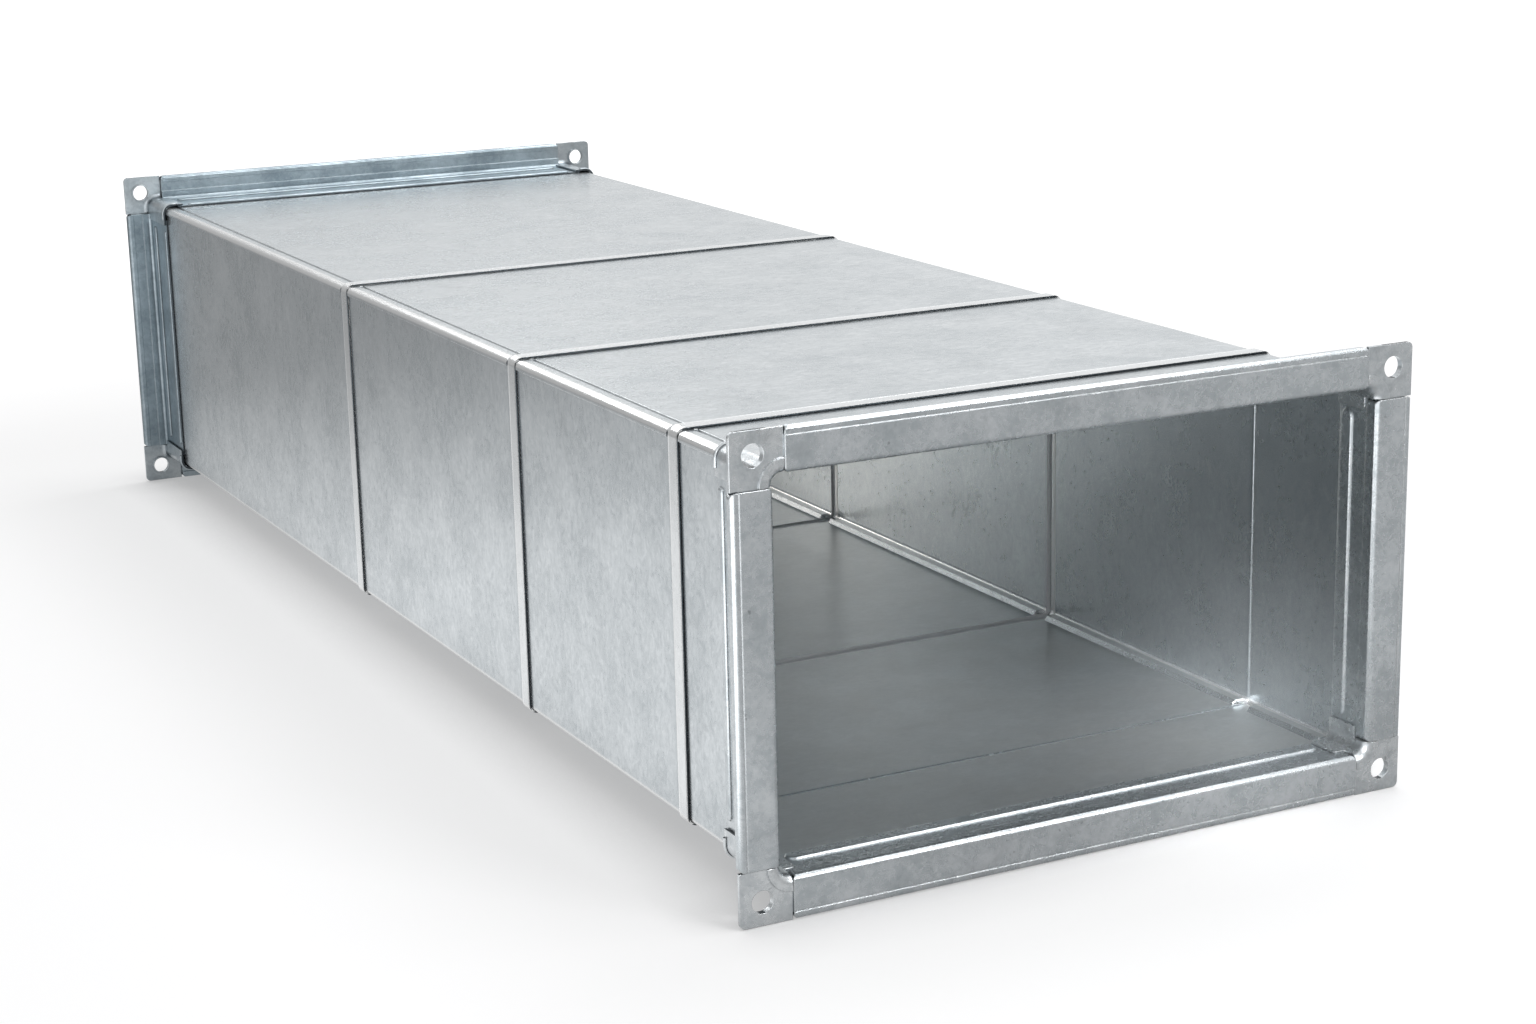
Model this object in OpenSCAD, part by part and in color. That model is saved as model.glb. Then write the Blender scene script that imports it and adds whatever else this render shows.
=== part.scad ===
// Rectangular sheet metal duct with a slip-on flange at each end.
// Four courses of two bent sheets each, joined by corner lock seams and swaged lap joints.
// X is the width, Y the length (front flange at -Y), Z is up, origin at the bottom centre.

/* [Duct] */
// Clear width between the side sheets
duct_w = 350; // [200:5:600]
// Clear height between the top and bottom sheets
duct_h = 200; // [120:5:400]
// Length over the two flange faces
duct_l = 1050; // [900:10:2000]
// Thickness of the body sheets
sheet_t = 0.8; // [0.6:0.1:1.2]
// Inside radius of the bent sheet corners
bend_r = 3.2; // [2.5:0.1:5]

/* [Lap joints] */
// Distance from the front flange face to the front edge of the first collar
joint_1 = 94; // [80:1:150]
// Distance from the front flange face to the front edge of the second collar
joint_2 = 300; // [200:1:400]
// Distance from the front flange face to the front edge of the third collar
joint_3 = 580; // [450:1:800]
// Length of the flat land of each swaged collar
collar_land = 10; // [8:0.5:24]
// Length of the shoulder that lifts the sheet to the collar
collar_shoulder = 2.5; // [2:0.5:8]
// Gap between a collar and the course that slips into it
lap_gap = 0.4; // [0.3:0.1:0.9]
// How far the front course goes into its collar
lap_front = 9.5; // [6:0.5:10]
// How far each other course goes into its collar
lap_in = 4; // [3:0.5:10]

/* [Corner lock seam] */
// Depth of the pocket in the top and bottom sheets that holds the edge of a side sheet
pocket_depth = 6.5; // [4.5:0.1:12]
// Width of the lip hammered over the side sheet, past the rounded corner
lip_flat = 1; // [0.5:0.1:4]
// Air left between neighbouring layers of the seam
layer_gap = 0.15; // [0.1:0.01:0.25]
// Length over which the pocket's sheet steps back out to the wall
joggle_l = 1.8; // [1.6:0.1:4]

/* [Flange rails] */
// Height of the flange above the inside face of the duct sheets
flange_h = 20; // [18:1:40]
// Depth of the hollow face leg
face_t = 6; // [5.4:0.1:8]
// Radius of the face leg's outer edges
face_r = 2.2; // [1.2:0.1:2.6]
// Radius of the face leg's inner edge, where it turns into the duct
nose_r = 3.2; // [2:0.1:4.2]
// Depth at which the inner leg steps back to the sheet
nose_len = 8.5; // [8.4:0.1:12]
// Thickness of the rail strip
rail_t = 0.8; // [0.6:0.1:1]
// Length of the outer sleeve leg from the flange face
sleeve_out = 50; // [40:1:70]
// Length of the inner sleeve leg from the flange face
sleeve_in = 31; // [22:1:34]
// Gap between a sleeve leg and the duct sheet
sleeve_gap = 0.2; // [0.1:0.05:0.4]
// Height of the channel pressed in the back of the face leg
channel_h = 7; // [4:0.5:9]
// Depth of that channel
channel_d = 0.8; // [0.4:0.1:1]
// Radius of the rounded corners at the ends of a rail's face
rail_end_r = 3; // [1:0.5:4]
// Gap between a rail's end and the corner piece
rail_gap = 0.3; // [0.2:0.1:1]
// Height of the stiffening beads over the sleeve legs
bead_h = 1.3; // [0.8:0.1:1.8]
// Width of the inner bead
inner_bead_w = 9; // [5:0.5:11]
// Width of the outer bead beside the heel
heel_bead_w = 7; // [4:0.5:9]
// Width of the outer bead at the end of the sleeve
end_bead_w = 4.4; // [3.8:0.2:7]
// Distance from the flange face to the middle of the bead beside the heel
heel_bead_at = 17; // [15:0.5:24]
// Distance from the end of a sleeve leg to the near side of its last bead
end_bead_in = 1.5; // [0.5:0.5:5]
// Radius of the bend at the heel of the outer sleeve leg
heel_r = 2; // [1:0.5:3]

/* [Corner pieces] */
// Reach of the corner plate past the duct's inside corner
plate_in = 8; // [7.5:0.5:20]
// Thickness of the corner plate
plate_t = 2; // [1.2:0.1:2.4]
// Radius of the plate's outer corner
plate_r = 3; // [1:0.5:5]
// Diameter of the bolt hole
hole_d = 11.5; // [8:0.5:13]
// Distance from the flange's outer edges to the hole's centre
hole_in = 12; // [10:0.5:14]
// Radius of the bell-mouthed gusset on the plate
gusset_r = 13.4; // [12:0.1:15]
// Thickness of the gusset, its sleeves and its tabs
corner_t = 1.2; // [0.8:0.1:1.4]
// Bend radius of the gusset where it turns into the duct
gusset_bend = 5.5; // [4:0.1:6]
// Width of the tabs on the walls inside the duct
tab_in = 6.5; // [4:0.5:12]
// Width of the outer tabs past the plate
tab_out = 4; // [2:0.5:8]
// Depth of the rolled rim behind the bolt hole
hole_rim = 1.6; // [0.5:0.1:3]
// Radius of the neck between the plate and the outer sleeve
neck_r = 3; // [1:0.5:3]
// Length of the arms inside the hollow rails
arm_l = 22; // [10:1:40]
// Width of those arms
arm_w = 13; // [6:0.5:14]

/* [Hidden] */
$fn = 48;

half_w = duct_w / 2;
half_h = duct_h / 2;
half = [half_w, half_h, half_w, half_h];
mid_z = half_h + flange_h;

steel = [0.71, 0.74, 0.76];
steel_dark = [0.62, 0.66, 0.69];
steel_light = [0.78, 0.81, 0.83];

// Seam layers, measured inward from the inside face of the pocket's wall
tongue_in = layer_gap;
layer2_in = tongue_in + sheet_t + layer_gap;
layer1_in = layer2_in + sheet_t + layer_gap;
lip_lift = sheet_t + layer_gap;
seam_bend = [bend_r, bend_r - lip_lift];
fold_top = seam_bend[1] + layer_gap / 3;
fold_room = 0.9;
joggle_at = pocket_depth + fold_room;
seam_end = joggle_at + joggle_l;
tongue_short = 1;
tongue_len = pocket_depth - tongue_short;
seam_trim = 0.5;

rise = lap_gap + sheet_t;
collar_len = collar_land + collar_shoulder;

// Rail levels, measured outward from the inside face of the duct sheet
leg_in = -sleeve_gap - rail_t;
leg_out = sheet_t + sleeve_gap;
nose_step = 1.2;
nose_at = leg_in - nose_step;
nose_end = nose_len + nose_step;
channel_edge = 2.5;
channel_at = flange_h - face_r - channel_edge - channel_h;
crease_in = 4;
crease_at = flange_h - crease_in;
crease_w = 0.5;
slot_skin = 0.6;
slot_front = rail_t + slot_skin;
slot_over = 0.2;
sheet_play = 0.5;
bead_root = rail_t / 4;
bead_margin = 2;

// Corner piece levels
plate_w = flange_h + plate_in;
plate_play = 0.2;
plate_front = rail_t + plate_play;
plate_back = plate_front + plate_t;
web_r = 10;
tab_skin = -leg_in + sleeve_gap;
bell_out = plate_in - tab_skin;
bell_in = bell_out - corner_t;
tab_front = nose_end + rail_gap;
tab_r = 1.5;
rim_t = 0.8;
rib_r = 1.2;
wrap_gap = 0.45;
wrap_lift = sheet_t + lip_lift + wrap_gap;
wrap_r = 6.2;
wrap_c = wrap_r - wrap_lift;
hole_at = flange_h - hole_in;
arm_in = 1.6;
arm_top = face_r + arm_in;
weld = 0.4;
wrap_from = corner_t - weld;
seam_play = 1;
seam_from = sleeve_in + seam_play;
sheet_from = face_t + sheet_play;

// Turns end-on drawings, x across and y up, into place, with their depth running back
module stand(depth) {
    translate([0, depth - duct_l / 2, mid_z]) rotate([90, 0, 0]) mirror([0, 0, 1]) children();
}

// The same at a flange, with the depth running into the duct
module at_flange(rear) {
    if (rear) stand(duct_l) mirror([0, 0, 1]) children();
    else stand(0) children();
}

// Sides and corners are numbered anticlockwise from the right wall and the top right corner
module on_side(k) {
    rotate(90 * k) translate([half[k], 0, 0]) children();
}

module on_corner(k, inset) {
    rotate(90 * k) translate([half[k] - inset, half[(k + 1) % 4] - inset, 0]) children();
}

// Runs a section, x outward and y in depth, along a side between two places
module run(from, to) {
    translate([0, to, 0]) rotate([90, 0, 0]) linear_extrude(to - from) children();
}

// A shape and its mirror image across the corner's diagonal
module both() {
    children();
    mirror([1, -1, 0]) children();
}

module quarter(r_out, r_in) {
    intersection() {
        difference() { circle(r_out); circle(r_in); }
        square(r_out);
    }
}

// Body sheets

// Both edges are drawn for a pocket that stands along y: x runs in from the inside face of the
// pocket's sheet, y from the inside face of the sheet whose edge it holds
module pocket_section() {
    centre = seam_bend;
    // hammered lip and the rolled corner
    translate([centre[0], -sheet_t - lip_lift]) square([lip_flat, sheet_t]);
    translate(centre) rotate(180) quarter(centre[0] + sheet_t, centre[0]);
    translate([-sheet_t, centre[1]]) square([sheet_t, pocket_depth - centre[1]]);
    // fold at the bottom of the pocket
    fold_r = (layer2_in + 2 * sheet_t) / 2;
    translate([fold_r - sheet_t, pocket_depth]) for (a = [0, 90]) rotate(a) quarter(fold_r, fold_r - sheet_t);
    translate([layer2_in, fold_top]) square([sheet_t, pocket_depth - fold_top]);
    // fold at the top of the pocket
    turn_r = (layer1_in + sheet_t - layer2_in) / 2;
    translate([layer2_in + turn_r, fold_top]) for (a = [180, 270]) rotate(a) quarter(turn_r, turn_r - sheet_t);
    translate([layer1_in, fold_top]) square([sheet_t, joggle_at - fold_top]);
    // step back out to the wall
    lean = sheet_t * (sqrt(pow(layer1_in + sheet_t, 2) + pow(joggle_l, 2)) - joggle_l) / (layer1_in + sheet_t);
    polygon([
        [layer1_in, joggle_at], [layer1_in + sheet_t, joggle_at],
        [layer1_in + sheet_t, joggle_at + lean], [0, seam_end + lean],
        [-sheet_t, seam_end + lean], [-sheet_t, seam_end]
    ]);
}

// Single edge, as it goes into the pocket
module tongue_section() {
    centre = seam_bend;
    r_out = centre[0] - layer_gap;
    translate(centre) rotate(180) quarter(r_out, r_out - sheet_t);
    translate([tongue_in, centre[1]]) square([sheet_t, tongue_len - centre[1]]);
    translate([centre[0], -sheet_t]) square([seam_end - centre[0], sheet_t]);
}

// Lower sheet in its seamed length: left wall, bottom left bend and bottom wall
module seamed_section() {
    translate([-half_w, half_h]) mirror([0, 1]) mirror([1, -1]) tongue_section();
    translate([half_w, -half_h]) mirror([1, 0]) mirror([1, -1]) pocket_section();
    translate([-half_w - sheet_t, bend_r - half_h]) square([sheet_t, duct_h - bend_r - seam_end]);
    translate([bend_r - half_w, bend_r - half_h]) rotate(180) quarter(bend_r + sheet_t, bend_r);
    translate([bend_r - half_w, -half_h - sheet_t]) square([duct_w - bend_r - seam_end, sheet_t]);
}

// Lower sheet where its seams are trimmed off to enter a collar or a flange
module plain_section() {
    translate([bend_r - half_w, half_h - bend_r]) rotate(90) quarter(bend_r + sheet_t, bend_r);
    translate([-half_w - sheet_t, bend_r - half_h]) square([sheet_t, duct_h - 2 * bend_r]);
    translate([bend_r - half_w, bend_r - half_h]) rotate(180) quarter(bend_r + sheet_t, bend_r);
    translate([bend_r - half_w, -half_h - sheet_t]) square([duct_w - 2 * bend_r - layer_gap, sheet_t]);
}

// Section through a collar: shoulder at the back, land at the front
function shoulder(i) = [
    rise * (1 - cos(30 * i)) / 2,
    collar_len - collar_shoulder * i / 6
];
module collar_section() {
    polygon(concat(
        [for (i = [0:6]) shoulder(i)],
        [[rise, 0], [rise + sheet_t, 0]],
        [for (i = [6:-1:0]) shoulder(i) + [sheet_t, 0]]
    ));
}

module collar() {
    on_side(2) run(bend_r - half_h, half_h - bend_r) collar_section();
    on_side(3) run(bend_r - half_w, half_w - bend_r - layer_gap) collar_section();
    for (k = [1, 2]) on_corner(k, bend_r) rotate_extrude(angle = 90) translate([bend_r, 0]) collar_section();
}

// One lower sheet between its front end and its back end
module course_sheet(from, to, collared, seam_start, seam_stop) {
    stand(0) {
        if (collared) translate([0, 0, from]) collar();
        else translate([0, 0, from]) linear_extrude(seam_start - from) plain_section();
        translate([0, 0, seam_start]) linear_extrude(seam_stop - seam_start) seamed_section();
        translate([0, 0, seam_stop]) linear_extrude(to - seam_stop) plain_section();
    }
}

// The upper sheet of a course is the lower one turned half round
module half_turn() {
    translate([0, 0, mid_z]) rotate([0, 180, 0]) translate([0, 0, -mid_z]) children();
}

module front_course() {
    course_sheet(sheet_from, joint_1 + lap_front, false, seam_from, joint_1 - seam_trim);
}

module second_course() {
    course_sheet(joint_1, joint_2 + lap_in, true, joint_1 + collar_len, joint_2 - seam_trim);
}

module third_course() {
    course_sheet(joint_2, joint_3 + lap_in, true, joint_2 + collar_len, joint_3 - seam_trim);
}

module rear_course() {
    course_sheet(joint_3, duct_l - sheet_from, true, joint_3 + collar_len, duct_l - seam_from);
}

module front_course_lower_sheet() { color(steel) front_course(); }
module front_course_upper_sheet() { color(steel) half_turn() front_course(); }
module second_course_lower_sheet() { color(steel) second_course(); }
module second_course_upper_sheet() { color(steel) half_turn() second_course(); }
module third_course_lower_sheet() { color(steel) third_course(); }
module third_course_upper_sheet() { color(steel) half_turn() third_course(); }
module rear_course_lower_sheet() { color(steel) rear_course(); }
module rear_course_upper_sheet() { color(steel) half_turn() rear_course(); }

// Flange rails

// Outline of the hollow face leg, drawn smaller by a skin for its cavity
module face_outline(skin) {
    inner = nose_at + nose_r;
    outer = flange_h - face_r;
    translate([inner, nose_r]) intersection() {
        circle(nose_r - skin);
        translate([-nose_r, -nose_r]) square(nose_r);
    }
    for (v = [face_r, face_t - face_r]) translate([outer, v]) circle(face_r - skin);
    translate([inner, skin]) square([outer - inner, face_t - 2 * skin]);
    translate([nose_at + skin, nose_r]) square([nose_r, face_t - skin - nose_r]);
    translate([outer, face_r]) square([face_r - skin, face_t - 2 * face_r]);
}

module rail_section() {
    leg_back = leg_in + rail_t;
    difference() {
        union() {
            difference() {
                face_outline(0);
                difference() {
                    face_outline(rail_t);
                    translate([channel_at - rail_t, face_t - channel_d - rail_t])
                        square([channel_h + 2 * rail_t, channel_d + rail_t]);
                }
            }
            // inner leg: nose, step and sleeve
            translate([nose_at, face_t - rail_t]) square([rail_t, nose_len - face_t + rail_t]);
            polygon([[nose_at, nose_len], [nose_at + rail_t, nose_len], [leg_back, nose_end], [leg_in, nose_end]]);
            translate([leg_in, nose_end]) square([rail_t, sleeve_in - nose_end]);
            // outer leg and the bend at its heel
            translate([leg_out, face_t - rail_t]) square([rail_t, sleeve_out - face_t + rail_t]);
            translate([leg_out + rail_t, face_t]) difference() {
                translate([-bead_root, -bead_root]) square(heel_r + bead_root);
                translate([heel_r, heel_r]) circle(heel_r);
            }
        }
        // channel in the back of the face leg
        translate([channel_at, face_t - channel_d]) square([channel_h, channel_d + 1]);
        // slot that takes the edge of the duct sheet
        translate([nose_at + rail_t, slot_front])
            square([leg_out - nose_at - rail_t, face_t - slot_front + slot_over]);
        // faint crease along the face
        translate([crease_at, 0]) rotate(45) square(crease_w, center = true);
    }
}

// Half the section of a pressed bead, x from its middle line, y up from the leg's face
module bead_half(width) {
    flat = width / 2 - bead_h;
    translate([0, -bead_root]) square([flat, bead_h + bead_root]);
    intersection() {
        translate([flat, 0]) circle(bead_h);
        translate([flat, 0]) square(bead_h);
    }
    translate([flat, -bead_root]) square([bead_h, bead_root]);
}

// Bead with rounded ends along y, rising along z
module bead(length, width) {
    straight = length - width;
    translate([0, straight / 2, 0]) rotate([90, 0, 0]) linear_extrude(straight)
        for (m = [0, 1]) mirror([m, 0]) bead_half(width);
    for (e = [0, 1]) mirror([0, e, 0]) translate([0, straight / 2, 0])
        rotate_extrude(angle = 180) bead_half(width);
}

// Bead on a sleeve leg's face, rising outward or, mirrored, inward
module rail_bead(length, width, leg_face, inward, depth) {
    translate([leg_face, 0, depth]) rotate([0, inward ? -90 : 90, 0]) bead(length, width);
}

// Waste outside the rounded corner of a rail's face, at its outer or inner edge
module rail_end_cut(inner) {
    edge = inner ? nose_at + rail_end_r : flange_h - rail_end_r;
    translate([edge, -rail_end_r, -1]) linear_extrude((inner ? nose_end : face_t) + 1) difference() {
        mirror([inner ? 1 : 0, 0]) square(rail_end_r + 1);
        circle(rail_end_r);
    }
}

// Rail on side k, between the two corner plates
module rail(k) {
    reach = half[(k + 1) % 4] - plate_in - rail_gap;
    bead_l = 2 * (reach - tab_in - bead_margin);
    on_side(k) {
        difference() {
            run(-reach, reach) rail_section();
            for (turn = [0, 180], inner = [false, true])
                rotate([turn, 0, 0]) mirror([0, 0, turn / 180]) translate([0, reach, 0]) rail_end_cut(inner);
        }
        rail_bead(bead_l, heel_bead_w, leg_out + rail_t, false, heel_bead_at);
        rail_bead(bead_l, end_bead_w, leg_out + rail_t, false, sleeve_out - end_bead_in - end_bead_w / 2);
        rail_bead(bead_l, inner_bead_w, leg_in, true, sleeve_in - end_bead_in - inner_bead_w / 2);
    }
}

module front_rail_right() { color(steel_light) at_flange(false) rail(0); }
module front_rail_top() { color(steel_light) at_flange(false) rail(1); }
module front_rail_left() { color(steel_light) at_flange(false) rail(2); }
module front_rail_bottom() { color(steel_light) at_flange(false) rail(3); }
module rear_rail_right() { color(steel_light) at_flange(true) rail(0); }
module rear_rail_top() { color(steel_light) at_flange(true) rail(1); }
module rear_rail_left() { color(steel_light) at_flange(true) rail(2); }
module rear_rail_bottom() { color(steel_light) at_flange(true) rail(3); }

// Corner pieces

// Plate seen from the front, with x and y outward from the duct's inside corner
module plate_outline() {
    difference() {
        union() {
            translate([-plate_in, -plate_in]) square([plate_w, plate_w - plate_r]);
            translate([-plate_in, -plate_in]) square([plate_w - plate_r, plate_w]);
            translate([flange_h - plate_r, flange_h - plate_r]) circle(plate_r);
            // arms that go into the hollow rails
            both() translate([-plate_in - arm_l, flange_h - arm_top - arm_w]) square([arm_l + 1, arm_w]);
        }
        translate([-plate_in, -plate_in]) circle(web_r);
        translate([hole_at, hole_at]) circle(hole_d / 2);
    }
}

// Gusset and inner sleeve, turned about the plate's inner corner
module bell_section() {
    bend_at = bell_in + gusset_bend;
    translate([bend_at, gusset_bend]) rotate(180) quarter(gusset_bend, gusset_bend - corner_t);
    translate([bend_at, 0]) square([gusset_r - bend_at, corner_t]);
    translate([bell_in, gusset_bend]) square([corner_t, sleeve_in - gusset_bend]);
}

// Outer sleeve round the duct's corner, from the back of the plate, with a rib at its end
module wrap(from) {
    skin_r = wrap_r + corner_t;
    translate([-wrap_c, -wrap_c, 0]) {
        translate([0, 0, from]) linear_extrude(sleeve_out - from) quarter(skin_r, wrap_r);
        rotate_extrude(angle = 90) {
            translate([skin_r, sleeve_out - rib_r]) intersection() {
                circle(rib_r);
                translate([0, -rib_r]) square(2 * rib_r);
            }
            translate([skin_r, 0]) neck_section();
        }
    }
}

// Hollow fillet between the plate's back and a sleeve
module neck_section() {
    translate([0, plate_back]) difference() {
        translate([-corner_t / 2, -corner_t / 2]) square(neck_r + corner_t / 2);
        translate([neck_r, neck_r]) circle(neck_r);
    }
}

// Flat of the outer sleeve between the duct's corner and reach, running along x
module wrap_arm(from, reach) {
    translate([-reach, wrap_lift, from]) cube([reach - wrap_c, corner_t, sleeve_out - from]);
}

// Rib and neck of that flat
module wrap_arm_trim(reach) {
    translate([-reach, wrap_lift + corner_t, 0]) rotate([90, 0, 90]) linear_extrude(reach - wrap_c) {
        translate([0, sleeve_out - rib_r]) intersection() {
            circle(rib_r);
            translate([0, -rib_r]) square(2 * rib_r);
        }
        neck_section();
    }
}

// Tab of the inner sleeve on a wall inside the duct, with rounded corners at its free end
module tab() {
    translate([-plate_in - tab_in, -tab_skin, tab_front]) rotate([90, 0, 0]) linear_extrude(corner_t) {
        translate([tab_r, 0]) square([tab_in - tab_r, sleeve_in - tab_front]);
        translate([0, tab_r]) square([tab_in, sleeve_in - tab_front - 2 * tab_r]);
        for (v = [tab_r, sleeve_in - tab_front - tab_r]) translate([tab_r, v]) circle(tab_r);
    }
}

module corner_piece() {
    hole_r = hole_d / 2;
    translate([0, 0, plate_front]) linear_extrude(plate_t) plate_outline();
    // rolled rim behind the bolt hole
    translate([hole_at, hole_at, plate_back - plate_t / 2]) linear_extrude(plate_t / 2 + hole_rim)
        difference() { circle(hole_r + rim_t); circle(hole_r); }
    translate([-plate_in, -plate_in, 0]) rotate_extrude(angle = 90) bell_section();
    wrap(wrap_from);
    both() {
        tab();
        wrap_arm(wrap_from, plate_in - rail_gap);
        wrap_arm_trim(plate_in - rail_gap);
        wrap_arm(face_t + heel_r + rail_gap, plate_in + tab_out);
    }
}

module corner_at(rear, k) {
    color(steel_dark) at_flange(rear) on_corner(k, 0) corner_piece();
}

module front_corner_top_right() { corner_at(false, 0); }
module front_corner_top_left() { corner_at(false, 1); }
module front_corner_bottom_left() { corner_at(false, 2); }
module front_corner_bottom_right() { corner_at(false, 3); }
module rear_corner_top_right() { corner_at(true, 0); }
module rear_corner_top_left() { corner_at(true, 1); }
module rear_corner_bottom_left() { corner_at(true, 2); }
module rear_corner_bottom_right() { corner_at(true, 3); }

front_course_lower_sheet();
front_course_upper_sheet();
second_course_lower_sheet();
second_course_upper_sheet();
third_course_lower_sheet();
third_course_upper_sheet();
rear_course_lower_sheet();
rear_course_upper_sheet();
front_rail_right();
front_rail_top();
front_rail_left();
front_rail_bottom();
rear_rail_right();
rear_rail_top();
rear_rail_left();
rear_rail_bottom();
front_corner_top_right();
front_corner_top_left();
front_corner_bottom_left();
front_corner_bottom_right();
rear_corner_top_right();
rear_corner_top_left();
rear_corner_bottom_left();
rear_corner_bottom_right();
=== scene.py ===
# Rectangular duct in galvanised sheet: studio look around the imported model
import bpy
import bmesh
import math
from mathutils import Matrix, Vector


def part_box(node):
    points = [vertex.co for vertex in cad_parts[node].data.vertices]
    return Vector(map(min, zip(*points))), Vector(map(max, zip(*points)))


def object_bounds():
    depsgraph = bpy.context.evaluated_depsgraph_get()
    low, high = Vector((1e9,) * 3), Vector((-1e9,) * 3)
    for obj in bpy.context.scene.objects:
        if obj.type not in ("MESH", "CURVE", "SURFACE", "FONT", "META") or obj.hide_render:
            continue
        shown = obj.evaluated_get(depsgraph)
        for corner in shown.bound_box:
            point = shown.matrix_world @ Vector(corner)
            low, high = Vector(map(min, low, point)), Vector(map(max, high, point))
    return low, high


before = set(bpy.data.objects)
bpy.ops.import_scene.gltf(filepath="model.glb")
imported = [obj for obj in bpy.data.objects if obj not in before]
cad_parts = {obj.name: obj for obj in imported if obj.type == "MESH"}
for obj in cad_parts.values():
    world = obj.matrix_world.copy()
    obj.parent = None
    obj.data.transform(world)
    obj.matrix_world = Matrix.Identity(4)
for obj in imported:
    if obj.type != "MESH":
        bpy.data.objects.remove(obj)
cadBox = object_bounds()
print("frame loaded:", len(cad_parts), "nodes")

# Camera: solved from the photograph, in the duct's own frame
cameraValues = {
    "place": (-0.7364, -1.6289, 0.5189),
    "azimuth": -26.91,  # degrees, as elevation and roll
    "elevation": 14.4,
    "roll": -1.27,
    "focalPixels": 2809.5,
    "imageWidth": 1536,
    "sensorWidth": 36.0,
    "nearest": 0.02,
    "farthest": 60,
}


def makeCamera(values):
    data = bpy.data.cameras.new("photoCamera")
    data.sensor_width = values["sensorWidth"]
    data.lens = values["focalPixels"] * values["sensorWidth"] / values["imageWidth"]
    data.clip_start = values["nearest"]
    data.clip_end = values["farthest"]
    turn = math.radians(values["azimuth"])
    lift = math.radians(values["elevation"])
    lean = math.radians(values["roll"])
    back = Vector((math.sin(turn) * math.cos(lift), -math.cos(turn) * math.cos(lift), math.sin(lift)))
    right = Vector((math.cos(turn), math.sin(turn), 0))
    up = back.cross(right)
    leanRight = math.cos(lean) * right + math.sin(lean) * up
    leanUp = math.cos(lean) * up - math.sin(lean) * right
    pose = Matrix((leanRight, leanUp, back)).transposed().to_4x4()
    pose.translation = Vector(values["place"])
    camera = bpy.data.objects.new("photoCamera", data)
    bpy.context.scene.collection.objects.link(camera)
    camera.matrix_world = pose
    bpy.context.scene.camera = camera


makeCamera(cameraValues)
print("camera placed")


# Helpers for shader nodes
zeroToOne = (0.0, 1.0)


def newNode(tree, kind, x, y, **settings):
    node = tree.nodes.new(kind)
    node.location = (x, y)
    for name, value in settings.items():
        setattr(node, name, value)
    return node


def feed(tree, socket, value):
    # an output is linked to the socket, a plain value is set on it, and None leaves it alone
    if isinstance(value, bpy.types.NodeSocket):
        tree.links.new(value, socket)
    elif value is not None:
        socket.default_value = value


def maths(tree, operation, first, second, x=0, y=0, clamp=False):
    node = newNode(tree, "ShaderNodeMath", x, y, operation=operation, use_clamp=clamp)
    feed(tree, node.inputs[0], first)
    feed(tree, node.inputs[1], second)
    return node.outputs[0]


def vectors(tree, operation, first, second, x=0, y=0):
    node = newNode(tree, "ShaderNodeVectorMath", x, y, operation=operation)
    feed(tree, node.inputs[0], first)
    feed(tree, node.inputs["Scale"] if operation == "SCALE" else node.inputs[1], second)
    return node.outputs["Value" if operation in ("DOT_PRODUCT", "LENGTH") else "Vector"]


def parted(tree, vector, x=0, y=0):
    node = newNode(tree, "ShaderNodeSeparateXYZ", x, y)
    feed(tree, node.inputs[0], vector)
    return node.outputs


def mapped(tree, value, source, target, x=0, y=0):
    # the source range becomes the target range, and values beyond it stop at its ends
    node = newNode(tree, "ShaderNodeMapRange", x, y)
    for name, number in zip(("From Min", "From Max", "To Min", "To Max"), (*source, *target)):
        node.inputs[name].default_value = number
    feed(tree, node.inputs["Value"], value)
    return node.outputs[0]


def mixed(tree, factor, first, second, x=0, y=0, kind="RGBA"):
    node = newNode(tree, "ShaderNodeMix", x, y, data_type=kind)
    for name, value in (("Factor", factor), ("A", first), ("B", second)):
        feed(tree, node.inputs[name], value)
    return node.outputs["Result"]


def noise(tree, vector, values, x=0, y=0):
    node = newNode(tree, "ShaderNodeTexNoise", x, y)
    feed(tree, node.inputs["Vector"], vector)
    for name, value in values.items():
        feed(tree, node.inputs[name], value)
    return node.outputs


def newMaterial(name):
    material = bpy.data.materials.new(name)
    material.use_nodes = True
    material.node_tree.nodes.clear()
    return material, material.node_tree


# Studio: white room, pale floor, soft lamps
white = (1, 1, 1)
roomValues = {
    "light": 0.3,  # what the surfaces get from it
    "white": 1.0,  # what the camera sees
    "mirrorWhite": 0.93,  # what the metal reflects
    "dimSides": (
        {"towards": (-0.62, 0.78, 0.0), "range": (0.35, 0.95), "least": 0.45},
        {"towards": (0.3, -0.95, 0.0), "range": (0.3, 0.9), "least": 0.4},
    ),
}


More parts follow.
